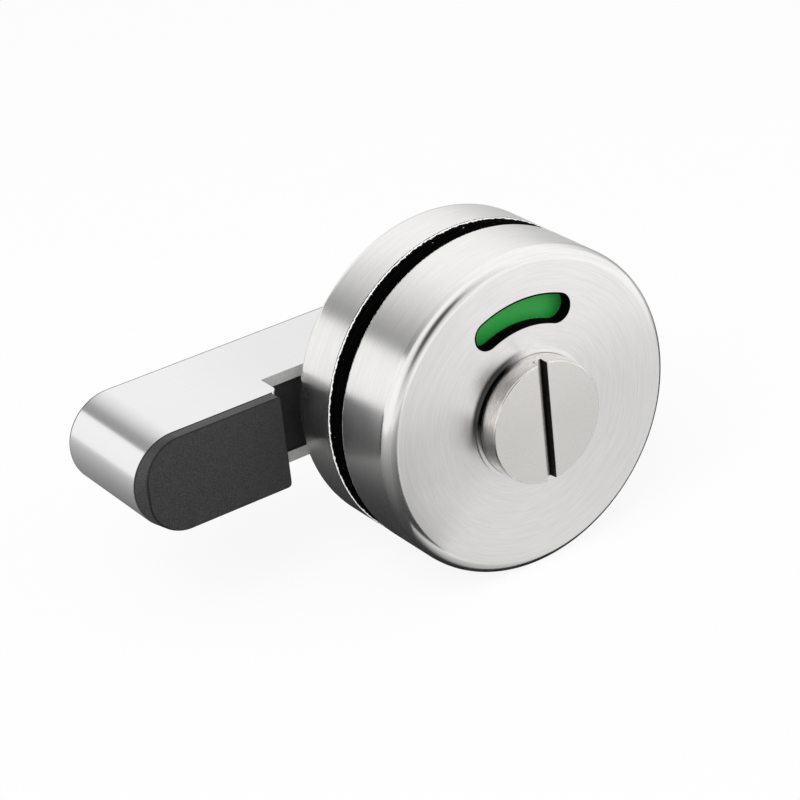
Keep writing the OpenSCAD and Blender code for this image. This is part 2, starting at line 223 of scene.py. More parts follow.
def pressed_cap(name, radius, rim_y, face_y, edge_radius, hole_radius, collar_width=0.0, collar_height=0.0):
    """A cap of even wall from its open rim to its face, with a hole that may have a raised collar."""
    outward = math.copysign(1.0, face_y - rim_y)
    ceiling_y = face_y - outward * COVER_WALL
    cap = round_bar(name, radius, rim_y, face_y, ROSE_SIDES)
    edit(cap)
    pick("EDGE", lambda edge: lies_at(edge, face_y))
    bpy.ops.mesh.bevel(offset=edge_radius, segments=EDGE_SEGMENTS, affect="EDGES")
    pick("FACE", lambda face: lies_at(face, face_y))
    bpy.ops.mesh.inset(thickness=radius - edge_radius - hole_radius - collar_width)
    if collar_width:
        push(outward * collar_height)
        bpy.ops.mesh.inset(thickness=collar_width)
    pick("FACE", lambda face: lies_at(face, rim_y))
    bpy.ops.mesh.inset(thickness=COVER_WALL)
    push(ceiling_y - rim_y)
    pick("EDGE", lambda edge: lies_at(edge, ceiling_y))
    inner_radius = edge_radius - COVER_WALL / 2
    bpy.ops.mesh.bevel(offset=inner_radius, segments=EDGE_SEGMENTS, affect="EDGES")
    pick("FACE", lambda face: lies_at(face, ceiling_y))
    bpy.ops.mesh.inset(thickness=radius - COVER_WALL - inner_radius - hole_radius)
    pick("FACE", lambda face: len(face.verts) == ROSE_SIDES)
    bpy.ops.mesh.delete(type="FACE")
    pick("EDGE", lambda edge: edge.is_boundary)
    bpy.ops.mesh.bridge_edge_loops()
    bpy.ops.object.mode_set(mode="OBJECT")
    ease_edges(cap, RIM_EASE, segments=3, where=lambda edge: lies_at(edge, rim_y)
               and all(near(vert.co.xz.length, radius) for vert in edge.verts))
    ease_edges(cap, BURR, where=lambda edge: edge.verts[0].co.xz.length > hole_radius + MICRON)
    return cap


print("pressed caps have a wall of", COVER_WALL / MM, "mm")

# %% [markdown]
# The outside rose has a drawn collar round the coin turn and a bean-shaped window above it. The window's
# cutter starts as a filled circle at one end of the arc. Spinning its leading half round the spindle
# sweeps the bean exactly, with no outline to draw, and the punched edge is then eased like a real one.
# The knob's hole is drawn a little tighter than its real play, because the picture shows no gap there.

# %% Outside cover
OUTSIDE_EDGE = 2.0 * MM
COLLAR_WIDTH = 0.6 * MM
COLLAR_HEIGHT = 0.5 * MM
KNOB_HOLE_RADIUS = 9.84 * MM
WINDOW_RADIUS = 16.55 * MM
WINDOW_WIDTH = 4.8 * MM
WINDOW_HALF_ANGLE = math.radians(22.8)
WINDOW_SIDES = 64
WINDOW_STEPS = 40
PUNCH_DEPTH = 3.0 * MM

cover_low, cover_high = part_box("outside_cover")
rose_radius = cover_high.x
outside_rim_y = cover_high.y
outside_face_y = cover_low.y + COLLAR_HEIGHT


def window_cutter():
    """A bean-shaped punch through the outside cover's face."""
    start = Matrix.Rotation(WINDOW_HALF_ANGLE, 3, "Y") @ Vector((0, 0, WINDOW_RADIUS))
    bpy.ops.object.select_all(action="DESELECT")
    bpy.ops.mesh.primitive_circle_add(
        vertices=WINDOW_SIDES, radius=WINDOW_WIDTH / 2, fill_type="NGON",
        location=(start.x, outside_face_y - COVER_WALL, start.z),
        rotation=(math.radians(90), WINDOW_HALF_ANGLE, 0))
    punch = bpy.context.active_object
    bpy.ops.object.transform_apply(location=True, rotation=True, scale=True)
    edit(punch)
    ahead = Matrix.Rotation(WINDOW_HALF_ANGLE, 3, "Y") @ Vector((-1, 0, 0))
    pick("EDGE", lambda edge: all((vert.co - start).dot(ahead) > -MICRON for vert in edge.verts))
    bpy.ops.mesh.spin(steps=WINDOW_STEPS, angle=2 * WINDOW_HALF_ANGLE, center=(0, 0, 0), axis=(0, 1, 0))
    bpy.ops.mesh.select_all(action="SELECT")
    bpy.ops.mesh.remove_doubles(threshold=MICRON)
    push(PUNCH_DEPTH)
    bpy.ops.mesh.select_all(action="SELECT")
    bpy.ops.mesh.normals_make_consistent(inside=False)
    bpy.ops.object.mode_set(mode="OBJECT")
    return punch


def on_window_edge(edge):
    """True for the front edge of the punched window."""
    radii = [math.hypot(vert.co.x, vert.co.z) for vert in edge.verts]
    margin = WINDOW_WIDTH / 2 + BURR
    return lies_at(edge, outside_face_y) and all(abs(r - WINDOW_RADIUS) < margin for r in radii)


outside_cover = pressed_cap(
    "outside_cover_brushed", rose_radius, outside_rim_y, outside_face_y, OUTSIDE_EDGE,
    KNOB_HOLE_RADIUS, COLLAR_WIDTH, COLLAR_HEIGHT)
combine(outside_cover, window_cutter())
ease_edges(outside_cover, BURR, where=on_window_edge)
close_up(outside_cover)
seat(outside_cover, "roses", "brushed_stainless", "outside_cover")

# %% [markdown]
# The inside rose is the same pressing without a window. Its hole clears the lever's hub, and its back
# edge is a little tighter, as the picture shows.

# %% Inside cover
INSIDE_EDGE = 1.5 * MM
HUB_HOLE_RADIUS = 6.55 * MM

inside_low, inside_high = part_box("inside_cover")
inside_rim_y = inside_low.y
inside_back_y = inside_high.y
inside_cover = pressed_cap(
    "inside_cover_brushed", rose_radius, inside_rim_y, inside_back_y, INSIDE_EDGE, HUB_HOLE_RADIUS)
close_up(inside_cover)
seat(inside_cover, "roses", "brushed_stainless", "inside_cover")

# %% [markdown]
# The coin turn is turned from bar: knob, hidden flange and stem in one. Extruding the end face and scaling
# it step by step is what a lathe does, so each step below is a radius and how far it runs. The slot is
# sawn straight across, and the square socket takes the spindle.

# %% Coin turn
KNOB_RADIUS = 9.8 * MM
KNOB_CHAMFER = 0.3 * MM
KNOB_SIDES = 160
FLANGE_THICKNESS = 1.0 * MM
COVER_PLAY = 0.1 * MM
JOURNAL_RADIUS = 5.2 * MM
SLOT_WIDTH = 1.65 * MM
SLOT_DEPTH = 1.5 * MM
SLOT_EASE = 0.2 * MM
SOCKET_WIDTH = 5.1 * MM
SOCKET_ROOF = 2.3 * MM
CUT = 1.0 * MM

coin_low, coin_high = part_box("coin_turn")
knob_top_y = coin_low.y
stem_end_y = coin_high.y
flange_radius = coin_high.x
flange_top_y = outside_face_y + COVER_WALL + COVER_PLAY
flange_end_y = flange_top_y + FLANGE_THICKNESS


def turn_step(from_radius, to_radius, length):
    """One step on the lathe: the end face changes radius, then runs on."""
    push(0)
    ratio = to_radius / from_radius
    bpy.ops.transform.resize(value=(ratio, 1, ratio), center_override=(0, 0, 0))
    push(length)


coin_turn = round_bar("coin_turn_knob", KNOB_RADIUS, knob_top_y, flange_top_y, KNOB_SIDES)
edit(coin_turn)
pick("EDGE", lambda edge: lies_at(edge, knob_top_y))
bpy.ops.mesh.bevel(offset=KNOB_CHAMFER, segments=3, affect="EDGES")
pick("FACE", lambda face: lies_at(face, flange_top_y))
turn_step(KNOB_RADIUS, flange_radius, FLANGE_THICKNESS)
turn_step(flange_radius, JOURNAL_RADIUS, stem_end_y - flange_end_y)
bpy.ops.object.mode_set(mode="OBJECT")
half_slot = SLOT_WIDTH / 2
reach = KNOB_RADIUS + CUT
slot_floor_y = knob_top_y + SLOT_DEPTH
saw = block((-half_slot, knob_top_y - CUT, -reach), (half_slot, slot_floor_y, reach))
combine(coin_turn, saw)
half_socket = SOCKET_WIDTH / 2
socket_roof_y = flange_end_y + SOCKET_ROOF
broach = block((-half_socket, socket_roof_y, -half_socket), (half_socket, stem_end_y + CUT, half_socket))
combine(coin_turn, broach)
ease_edges(coin_turn, SLOT_EASE, where=lambda edge: all(near(abs(v.co.x), half_slot) for v in edge.verts))
close_up(coin_turn)
seat(coin_turn, "turning_set", "turned_stainless", "coin_turn")

# %% [markdown]
# The lever is a hollow steel casting with round ends. A round bar becomes the long body by moving one half
# of it away, which stretches the middle. The open side is inset and pushed in for the cavity, then the
# door side is notched so that the root clears the rose. The tab's corner and the notch's long edges are
# rounded off, as with a file.

# %% Lever shell
LEVER_WALL = 1.8 * MM
LEVER_EDGE = 0.75 * MM
LEVER_GAP = 1.7 * MM
LEVER_SIDES = 160
TAB_GAP = 4.4 * MM
TAB_CORNER = 1.2 * MM
GRUB_HOLE_RADIUS = 2.05 * MM
GRUB_HOLE_SIDES = 48
LEVER_BURR = 0.15 * MM
NOTCH_EASE = 0.5 * MM

shell_low, shell_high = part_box("lever_shell")
insert_low, insert_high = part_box("lever_insert")
lever_radius = shell_high.z
tip_x = insert_low.x + lever_radius
tab_x = -rose_radius - TAB_GAP
tab_y = shell_low.y
notch_y = inside_back_y + LEVER_GAP
lever_back_y = shell_high.y
cavity_floor_y = lever_back_y - LEVER_WALL
pad_face_y = insert_low.y


def stadium(name, radius, y_start, y_end):
    """A bar with round ends, from the lever's root to its tip."""
    bar = round_bar(name, radius, y_start, y_end, LEVER_SIDES)
    edit(bar)
    pick("VERT", lambda vert: vert.co.x < 0)
    bpy.ops.transform.translate(value=(tip_x, 0, 0))
    bpy.ops.object.mode_set(mode="OBJECT")
    return bar


lever_shell = stadium("lever_shell_satin", lever_radius, tab_y, lever_back_y)
edit(lever_shell)
pick("EDGE", lambda edge: lies_at(edge, lever_back_y))
bpy.ops.mesh.bevel(offset=LEVER_EDGE, segments=6, affect="EDGES")
pick("FACE", lambda face: lies_at(face, tab_y))
bpy.ops.mesh.inset(thickness=LEVER_WALL)
push(cavity_floor_y - tab_y)
bpy.ops.object.mode_set(mode="OBJECT")
wide = lever_radius + CUT
combine(lever_shell, block((tab_x, tab_y - CUT, -wide), (wide, notch_y, wide)))
edit(lever_shell)
pick("EDGE", lambda edge: lies_at(edge, tab_y) and all(near(vert.co.x, tab_x) for vert in edge.verts))
bpy.ops.mesh.bevel(offset=TAB_CORNER, segments=8, affect="EDGES")
bpy.ops.object.mode_set(mode="OBJECT")
ease_edges(lever_shell, NOTCH_EASE, segments=4, where=lambda edge: lies_at(edge, notch_y)
           and all(near(abs(vert.co.z), lever_radius) for vert in edge.verts))
grub_y = (notch_y + cavity_floor_y) / 2
bpy.ops.mesh.primitive_cylinder_add(
    vertices=GRUB_HOLE_SIDES, radius=GRUB_HOLE_RADIUS, depth=lever_radius,
    location=(0, grub_y, -lever_radius))
combine(lever_shell, bpy.context.active_object)
ease_edges(lever_shell, LEVER_BURR)
close_up(lever_shell)
seat(lever_shell, "turning_set", "satin_stainless", "lever_shell")

# %% [markdown]
# The lever's black insert is one nylon moulding: a filling pressed into the cavity and a pad that stands
# proud of the steel and bears on the door frame. The pad's outline comes from the same stretched bar, cut
# flat beside the rose. Squeezing only the front face's round nose leans the nose back, which is the lead-in
# that lets the pad ride onto the frame. Its edges are eased, and so is the seam to the steel, because a
# seam shows as a thin dark line.

# %% Lever insert
INSERT_FIT = 0.05 * MM
FILL_SETBACK = 0.5 * MM
PAD_OVERLAP = 0.5 * MM
PAD_SETBACK = 0.8 * MM
PAD_CORNER = 0.7 * MM
PAD_EASE = 0.18 * MM
SEAM_EASE = 0.3 * MM
NOSE_LEAD = 1.4 * MM

insert_radius = lever_radius - LEVER_WALL - INSERT_FIT
fill_y = notch_y + FILL_SETBACK
pad_x = tab_x - PAD_SETBACK


def flat_end(piece, x):
    """Saws a bar off square across, keeping the tip's side."""
    edit(piece)
    bpy.ops.mesh.select_all(action="SELECT")
    bpy.ops.mesh.bisect(plane_co=(x, 0, 0), plane_no=(1, 0, 0), use_fill=True, clear_outer=True)
    bpy.ops.object.mode_set(mode="OBJECT")


lever_insert = stadium("lever_insert_moulded", insert_radius, tab_y - PAD_OVERLAP, cavity_floor_y)
flat_end(lever_insert, insert_high.x)
combine(lever_insert, block((tab_x, pad_face_y - CUT, -wide), (wide, fill_y, wide)))
pad = stadium("pad", lever_radius, pad_face_y, tab_y)
flat_end(pad, pad_x)
edit(pad)
pick("EDGE", lambda edge: all(near(vert.co.x, pad_x) for vert in edge.verts)
     and near(edge.verts[0].co.z, edge.verts[1].co.z))
bpy.ops.mesh.bevel(offset=PAD_CORNER, segments=6, affect="EDGES")
squeeze = 1 - NOSE_LEAD / lever_radius
for side in (-1, 1):
    pick("VERT", lambda vert: near(vert.co.y, pad_face_y) and vert.co.x < tip_x and vert.co.z * side > 0)
    bpy.ops.transform.resize(value=(squeeze, 1, squeeze), center_override=(tip_x, 0, side * lever_radius))
bpy.ops.object.mode_set(mode="OBJECT")
ease_edges(pad, PAD_EASE, 30.0, 3, where=lambda edge: lies_at(edge, pad_face_y))
ease_edges(pad, SEAM_EASE, 30.0, 2, where=lambda edge: lies_at(edge, tab_y))
combine(lever_insert, pad, "UNION")
close_up(lever_insert)
seat(lever_insert, "turning_set", "charcoal_nylon", "lever_insert")

# %% [markdown]
# Colours are written as hex values, as on a colour card, and turned to the linear values that the shader
# needs in one place. One small function adds a node with its settings, its links and, for a ramp, its
# stops, so that each finish below reads as a list of what it is made of.

# %% Helpers for finishes


def linear(hex_colour):
    """An sRGB hex colour as linear red, green, blue and alpha."""
    channels = [int(hex_colour[i:i + 2], 16) / 255 for i in (1, 3, 5)]
    return [c / 12.92 if c <= 0.04045 else ((c + 0.055) / 1.055) ** 2.4 for c in channels] + [1.0]


def add_node(tree, kind, inputs=None, stops=(), **settings):
    """Adds a node: inputs are values, nodes or outputs by socket, the other words are its own options."""
    node = tree.nodes.new(kind)
    for option, value in settings.items():
        setattr(node, option, value)
    for socket, value in (inputs or {}).items():
        if isinstance(value, bpy.types.Node):
            value = value.outputs[0]
        if isinstance(value, bpy.types.NodeSocket):
            tree.links.new(value, node.inputs[socket])
        else:
            node.inputs[socket].default_value = value
    for number, (place, colour) in enumerate(stops):
        ramp = node.color_ramp.elements
        stop = ramp[number] if number < len(ramp) else ramp.new(place)
        stop.position = place
        stop.color = colour
    return node


def new_finish(name):
    """A material with no nodes yet, and its node tree."""
    finish = bpy.data.materials.new(name)
    finish.use_nodes = True
    finish.node_tree.nodes.clear()
    return finish, finish.node_tree


def wear(piece, finish):
    """Gives a piece its finish all over."""
    piece.data.materials.clear()
    piece.data.materials.append(finish)


def coat(piece, finish, test):
    """Gives only the faces that pass a test another finish."""
    piece.data.materials.append(finish)
    last = len(piece.data.materials) - 1
    coated = [face for face in piece.data.polygons if test(face)]
    for face in coated:
        face.material_index = last
    print(f"{finish.name}: {len(coated)} faces of {piece.name}")


# Noise rarely leaves its middle, so a pattern is read between these two values.
NOISE_LOW = 0.3
NOISE_HIGH = 0.7
print("finish helpers ready")

# %% [markdown]
# The roses are brushed while they spin, so the scratches run in circles about the spindle. Light then
# spreads across the scratches, which draws fans on the face and streaks along the side. The shader's
# anisotropy does that, with its tangent along the scratches and a quarter turn. The scratches themselves
# are noise that is fine along the radius and the spindle and long round the circle. They are about
# 0.05 mm apart on the real thing and are drawn coarser, because a pixel of the picture covers 0.14 mm.
# A shadow is painted onto the face just outside the knob's foot, dark on one side only.
# The covers' rounded edges keep the smoother surface that the press's die gives them.

# %% Brushed and turned stainless steel
SMUDGE = 7.0 * MM
SMUDGE_GLOSS = 0.03
SCRATCH_STRENGTH = 0.25
QUARTER_TURN = 0.25
BLACK = (0.0, 0.0, 0.0, 1.0)
FOOT_SHADOW_CORE = 0.2 * MM
FOOT_SHADOW_WIDTH = 1.8 * MM
FOOT_SHADOW_ANGLE = math.radians(142)
# Cosines of the angles from the painted shadow's middle where it ends and where it is full
FOOT_SHADOW_ENDS = 0.6
FOOT_SHADOW_FULL = 0.92


def painted_foot_shadow(tree, tone, radius, radial, foot_radius):
    """Paints a shadow into a tone outside a foot, on one side."""
    away = add_node(tree, "ShaderNodeMapRange", {
        "Value": radius, "From Min": foot_radius + FOOT_SHADOW_CORE, "From Max": foot_radius + FOOT_SHADOW_WIDTH,
        "To Min": 1.0, "To Max": 0.0}, interpolation_type="SMOOTHERSTEP")
    corner = (math.cos(FOOT_SHADOW_ANGLE), 0, math.sin(FOOT_SHADOW_ANGLE))
    facing = add_node(tree, "ShaderNodeVectorMath", {0: radial, 1: corner}, operation="DOT_PRODUCT")
    side = add_node(tree, "ShaderNodeMapRange", {
        "Value": facing.outputs["Value"], "From Min": FOOT_SHADOW_ENDS, "From Max": FOOT_SHADOW_FULL},
        interpolation_type="SMOOTHSTEP")
    share = add_node(tree, "ShaderNodeMath", {0: away, 1: side}, operation="MULTIPLY")
    mixed = add_node(tree, "ShaderNodeMix", {0: share, 6: tone, 7: BLACK}, data_type="RGBA")
    return mixed.outputs[2]


def circular_steel(name, dark, light, roughness, anisotropy, spacing, turns, depth, foot_radius=0.0):
    """Steel scratched in circles about the spindle, a spacing apart; more turns are shorter scratches."""
    finish, tree = new_finish(name)
    place = add_node(tree, "ShaderNodeTexCoord").outputs["Object"]
    height = add_node(tree, "ShaderNodeSeparateXYZ", {"Vector": place}).outputs["Y"]
    flat = add_node(tree, "ShaderNodeVectorMath", {0: place, 1: (1, 0, 1)}, operation="MULTIPLY")
    radius = add_node(tree, "ShaderNodeVectorMath", {0: flat}, operation="LENGTH").outputs["Value"]
    radial = add_node(tree, "ShaderNodeVectorMath", {0: flat}, operation="NORMALIZE")
    along = add_node(tree, "ShaderNodeVectorMath", {0: (0, 1, 0), 1: radial}, operation="CROSS_PRODUCT")
    tangent = add_node(tree, "ShaderNodeVectorTransform", {"Vector": along},
                       vector_type="VECTOR", convert_from="OBJECT", convert_to="WORLD")
    across = add_node(tree, "ShaderNodeMath", {0: radius, 1: spacing}, operation="DIVIDE")
    down = add_node(tree, "ShaderNodeMath", {0: height, 1: spacing}, operation="DIVIDE")
    lifted = add_node(tree, "ShaderNodeCombineXYZ", {"Y": across})
    point = add_node(tree, "ShaderNodeVectorMath", {0: radial, 1: (turns, 0, turns), 2: lifted},
                     operation="MULTIPLY_ADD")
    scratch = add_node(tree, "ShaderNodeTexNoise", {
        "Vector": point, "W": down, "Scale": 1.0, "Detail": 3.0}, noise_dimensions="4D")
    smudge = add_node(tree, "ShaderNodeTexNoise", {"Vector": place, "Scale": 1 / SMUDGE, "Detail": 2.0})
    tone = add_node(tree, "ShaderNodeValToRGB", {"Fac": scratch},
                    stops=((NOISE_LOW, linear(dark)), (NOISE_HIGH, linear(light))))
    # A shadow is painted in round the knob's foot, on one side.
    if foot_radius:
        tone = painted_foot_shadow(tree, tone, radius, radial, foot_radius)
    gloss = add_node(tree, "ShaderNodeMapRange", {
        "Value": smudge, "From Min": NOISE_LOW, "From Max": NOISE_HIGH,
        "To Min": roughness + SMUDGE_GLOSS, "To Max": roughness - SMUDGE_GLOSS})
    bump = add_node(tree, "ShaderNodeBump", {
        "Height": scratch, "Strength": SCRATCH_STRENGTH, "Distance": depth})
    steel = add_node(tree, "ShaderNodeBsdfPrincipled", {
        "Base Color": tone, "Roughness": gloss, "Normal": bump, "Tangent": tangent,
        "Metallic": 1.0, "Anisotropic": anisotropy, "Anisotropic Rotation": QUARTER_TURN})
    add_node(tree, "ShaderNodeOutputMaterial", {"Surface": steel})
    return finish


front_steel_with_painted_shadow = circular_steel(
    "brushed_stainless_front_rose_painted_shadow", "#F0EFEE", "#FBFAF9", roughness=0.30, anisotropy=0.8,
    spacing=0.2 * MM, turns=4.0, depth=0.008 * MM, foot_radius=KNOB_HOLE_RADIUS)
back_steel = circular_steel(
    "brushed_stainless_back_rose", "#EFEEED", "#FCFBFA", roughness=0.30, anisotropy=0.8,
    spacing=0.2 * MM, turns=4.0, depth=0.008 * MM)
knob_steel = circular_steel(
    "fine_turned_stainless_knob", "#E3E0DC", "#F0EEEA", roughness=0.30, anisotropy=0.3,
    spacing=0.12 * MM, turns=60.0, depth=0.004 * MM)
knob_side_steel = circular_steel(
    "turned_side_stainless_knob", "#D8D5D1", "#FBF9F6", roughness=0.20, anisotropy=0.3,
    spacing=0.25 * MM, turns=9.0, depth=0.06 * MM)
hub_steel = circular_steel(
    "turned_stainless_hub", "#C9C7C4", "#DEDCDA", roughness=0.32, anisotropy=0.6,
    spacing=0.25 * MM, turns=3.0, depth=0.01 * MM)
edge_steel = circular_steel(
    "die_polished_stainless_edge", "#EFEEED", "#FBFAF9", roughness=0.19, anisotropy=0.6,
    spacing=0.2 * MM, turns=4.0, depth=0.006 * MM)
wear(outside_cover, front_steel_with_painted_shadow)
wear(inside_cover, back_steel)
for cover, face_y, edge_radius in ((outside_cover, outside_face_y, OUTSIDE_EDGE),
                                   (inside_cover, inside_back_y, INSIDE_EDGE)):
    coat(cover, edge_steel, lambda face: face.center.xz.length > rose_radius - edge_radius
         and abs(face.center.y - face_y) < edge_radius and not near(face.center.y, face_y))
wear(coin_turn, knob_steel)
coat(coin_turn, knob_side_steel, lambda face: face.center.xz.length > KNOB_RADIUS - KNOB_CHAMFER)
wear(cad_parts["lever_hub"], hub_steel)
print("circular brushing on", outside_cover.name, inside_cover.name, coin_turn.name)

# %% [markdown]
# The lever is cast and belt-polished to an even satin along its length. Its grain is so fine that it only
# softens reflections, so the scratches are faint and long in one direction. They are drawn coarser than
# the real ones too.

# %% Satin stainless lever
POLISH_SPACING = 0.2 * MM
POLISH_LENGTH = 9.0 * MM
POLISH_DEPTH = 0.001 * MM
POLISH_STRENGTH = 0.05

lever_steel, tree = new_finish("satin_polished_stainless_lever")
place = add_node(tree, "ShaderNodeTexCoord").outputs["Object"]
stretch = add_node(tree, "ShaderNodeMapping", {
    "Vector": place, "Scale": (1 / POLISH_LENGTH, 1 / POLISH_SPACING, 1 / POLISH_SPACING)})
grain = add_node(tree, "ShaderNodeTexNoise", {"Vector": stretch, "Scale": 1.0, "Detail": 3.0})
tone = add_node(tree, "ShaderNodeValToRGB", {"Fac": grain},
                stops=((NOISE_LOW, linear("#F3F3F4")), (NOISE_HIGH, linear("#F5F5F6"))))
gloss = add_node(tree, "ShaderNodeMapRange", {
    "Value": grain, "From Min": NOISE_LOW, "From Max": NOISE_HIGH, "To Min": 0.20, "To Max": 0.18})
bump = add_node(tree, "ShaderNodeBump", {
    "Height": grain, "Strength": POLISH_STRENGTH, "Distance": POLISH_DEPTH})
steel = add_node(tree, "ShaderNodeBsdfPrincipled", {
    "Base Color": tone, "Roughness": gloss, "Normal": bump, "Metallic": 1.0})
add_node(tree, "ShaderNodeOutputMaterial", {"Surface": steel})
wear(lever_shell, lever_steel)
print("satin lever:", lever_shell.name)

# %% [markdown]
# The pad and the filling are glass-filled nylon from a spark-eroded mould, which leaves an even, fine
# grain. The grain is what makes the black look charcoal: each pit catches a little of the studio's light.
# The other plastics are the same resin, either black or uncoloured. The filling has a duller, flatter grain
# and is painted darker than the pad, as shade in the cavity. The edge round the pad's face is painted as a
# thin dark line of shade, and the seam to the steel is painted black as shade too.

# %% Moulded nylon
FLOW = 6.0 * MM
FLOW_GLOSS = 0.04
PIT_STRENGTH = 0.5
NYLON_IOR = 1.53


def moulded_nylon(name, dark, light, roughness, grain_size, depth):
    """Nylon with the pitted grain of a spark-eroded mould."""
    finish, tree = new_finish(name)
    place = add_node(tree, "ShaderNodeTexCoord").outputs["Object"]
    pits = add_node(tree, "ShaderNodeTexNoise", {"Vector": place, "Scale": 1 / grain_size, "Detail": 4.0})
    flow = add_node(tree, "ShaderNodeTexNoise", {"Vector": place, "Scale": 1 / FLOW, "Detail": 2.0})
    tone = add_node(tree, "ShaderNodeValToRGB", {"Fac": pits},
                    stops=((NOISE_LOW, linear(dark)), (NOISE_HIGH, linear(light))))
    gloss = add_node(tree, "ShaderNodeMapRange", {
        "Value": flow, "From Min": NOISE_LOW, "From Max": NOISE_HIGH,
        "To Min": roughness - FLOW_GLOSS, "To Max": roughness + FLOW_GLOSS})
    bump = add_node(tree, "ShaderNodeBump", {"Height": pits, "Strength": PIT_STRENGTH, "Distance": depth})
    nylon = add_node(tree, "ShaderNodeBsdfPrincipled", {
        "Base Color": tone, "Roughness": gloss, "Normal": bump, "IOR": NYLON_IOR})
    add_node(tree, "ShaderNodeOutputMaterial", {"Surface": nylon})
    return finish


charcoal_nylon = moulded_nylon(
    "charcoal_moulded_nylon", "#212122", "#404040", roughness=0.42, grain_size=0.2 * MM, depth=0.12 * MM)
black_nylon = moulded_nylon(
    "black_moulded_nylon", "#0E0E0F", "#161617", roughness=0.6, grain_size=0.3 * MM, depth=0.02 * MM)
filling_nylon_painted_shade = moulded_nylon(
    "nylon_filling_painted_shade", "#1E1E1F", "#303031", roughness=0.6, grain_size=0.3 * MM, depth=0.02 * MM)
pad_edge_nylon_painted_shade = moulded_nylon(
    "nylon_pad_edge_painted_shade", "#0C0C0D", "#151516", roughness=0.5, grain_size=0.2 * MM, depth=0.02 * MM)
natural_nylon = moulded_nylon(
    "natural_nylon_bush", "#D9D3C3", "#E8E3D6", roughness=0.45, grain_size=0.3 * MM, depth=0.01 * MM)
wear(lever_insert, charcoal_nylon)
# The filling is painted darker than the pad, as shade in the cavity.
coat(lever_insert, filling_nylon_painted_shade, lambda face: face.center.y > tab_y)
# The seam's faces take black nylon as a painted line of shade.
coat(lever_insert, black_nylon, lambda face: tab_y - SEAM_EASE < face.center.y < tab_y + MICRON)
# The edge round the pad's face is painted dark as a line of shade.
coat(lever_insert, pad_edge_nylon_painted_shade, lambda face: pad_face_y + MICRON < face.center.y < pad_face_y + PAD_EASE)
for name in ("outside_base", "inside_base", "indicator_disc"):
    wear(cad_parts[name], black_nylon)
wear(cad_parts["hub_bush"], natural_nylon)
print("nylon pieces finished")

# %% [markdown]
# The gaskets are die-cut rubber: dull and black, with almost no shine, and drawn blacker still as painted
# shade in the gap between the roses. The labels are screen-printed film, so their colour is flat, slightly
# mottled ink under a satin surface.

# %% Rubber and print
FLECK_GLOSS = 0.05
FLECK_STRENGTH = 0.3


def soft_sheet(name, dark, light, roughness, shine, grain_size, depth):
    """A dull or printed sheet whose tone and gloss vary a little."""
    finish, tree = new_finish(name)
    place = add_node(tree, "ShaderNodeTexCoord").outputs["Object"]
    fleck = add_node(tree, "ShaderNodeTexNoise", {"Vector": place, "Scale": 1 / grain_size, "Detail": 3.0})
    tone = add_node(tree, "ShaderNodeValToRGB", {"Fac": fleck},
                    stops=((NOISE_LOW, linear(dark)), (NOISE_HIGH, linear(light))))
    gloss = add_node(tree, "ShaderNodeMapRange", {
        "Value": fleck, "From Min": NOISE_LOW, "From Max": NOISE_HIGH,
        "To Min": roughness + FLECK_GLOSS, "To Max": roughness - FLECK_GLOSS})
    bump = add_node(tree, "ShaderNodeBump", {
        "Height": fleck, "Strength": FLECK_STRENGTH, "Distance": depth})
    surface = add_node(tree, "ShaderNodeBsdfPrincipled", {
        "Base Color": tone, "Roughness": gloss, "Normal": bump, "Specular IOR Level": shine})
    add_node(tree, "ShaderNodeOutputMaterial", {"Surface": surface})
    return finish


gasket_rubber_and_gap_shade = soft_sheet(
    "die_cut_gasket_rubber", "#040404", "#080808", roughness=0.9, shine=0.1,
    grain_size=0.5 * MM, depth=0.02 * MM)
green_print = soft_sheet(
    "green_screen_print", "#2EA644", "#34AE4B", roughness=0.4, shine=0.3,
    grain_size=0.4 * MM, depth=0.004 * MM)
red_print = soft_sheet(
    "red_screen_print", "#B3201F", "#C12A26", roughness=0.4, shine=0.5,
    grain_size=0.4 * MM, depth=0.004 * MM)
# The bezel is black nylon, drawn blacker still as painted shade under the window's edge.
bezel_black_and_shade = soft_sheet(
    "matt_black_bezel", "#020202", "#040404", roughness=0.85, shine=0.05,
    grain_size=0.3 * MM, depth=0.01 * MM)
# The gaskets' near-total black is partly painted shade in the gap.
for name in ("outside_gasket", "inside_gasket"):
    wear(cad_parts[name], gasket_rubber_and_gap_shade)
wear(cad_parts["window_bezel"], bezel_black_and_shade)
wear(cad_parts["green_label"], green_print)
wear(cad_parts["red_label"], red_print)
print("gaskets and labels finished")

# %% [markdown]
# The hidden fixings are common steel: zinc plate on the spindle, posts and screws, blued spring steel on
# the circlips and the washer, and black oxide on the grub screw. Fine blotches in tone and gloss are what
# tells plated steel from paint. The sawn edges of the lever get such a plain steel too. They are never
# polished, so they scatter light and are less of a mirror. The rounded back edge of the lever is painted
# darker next to its top and sides, as a line of painted shade.

# %% Fixing steels and cut edges
BLOTCH_GLOSS = 0.08
SAWN_MIRROR = 0.4
# The share of the back edge's depth, from behind, that keeps the lever's own satin steel
UNSHADED_BACK_SHARE = 0.36


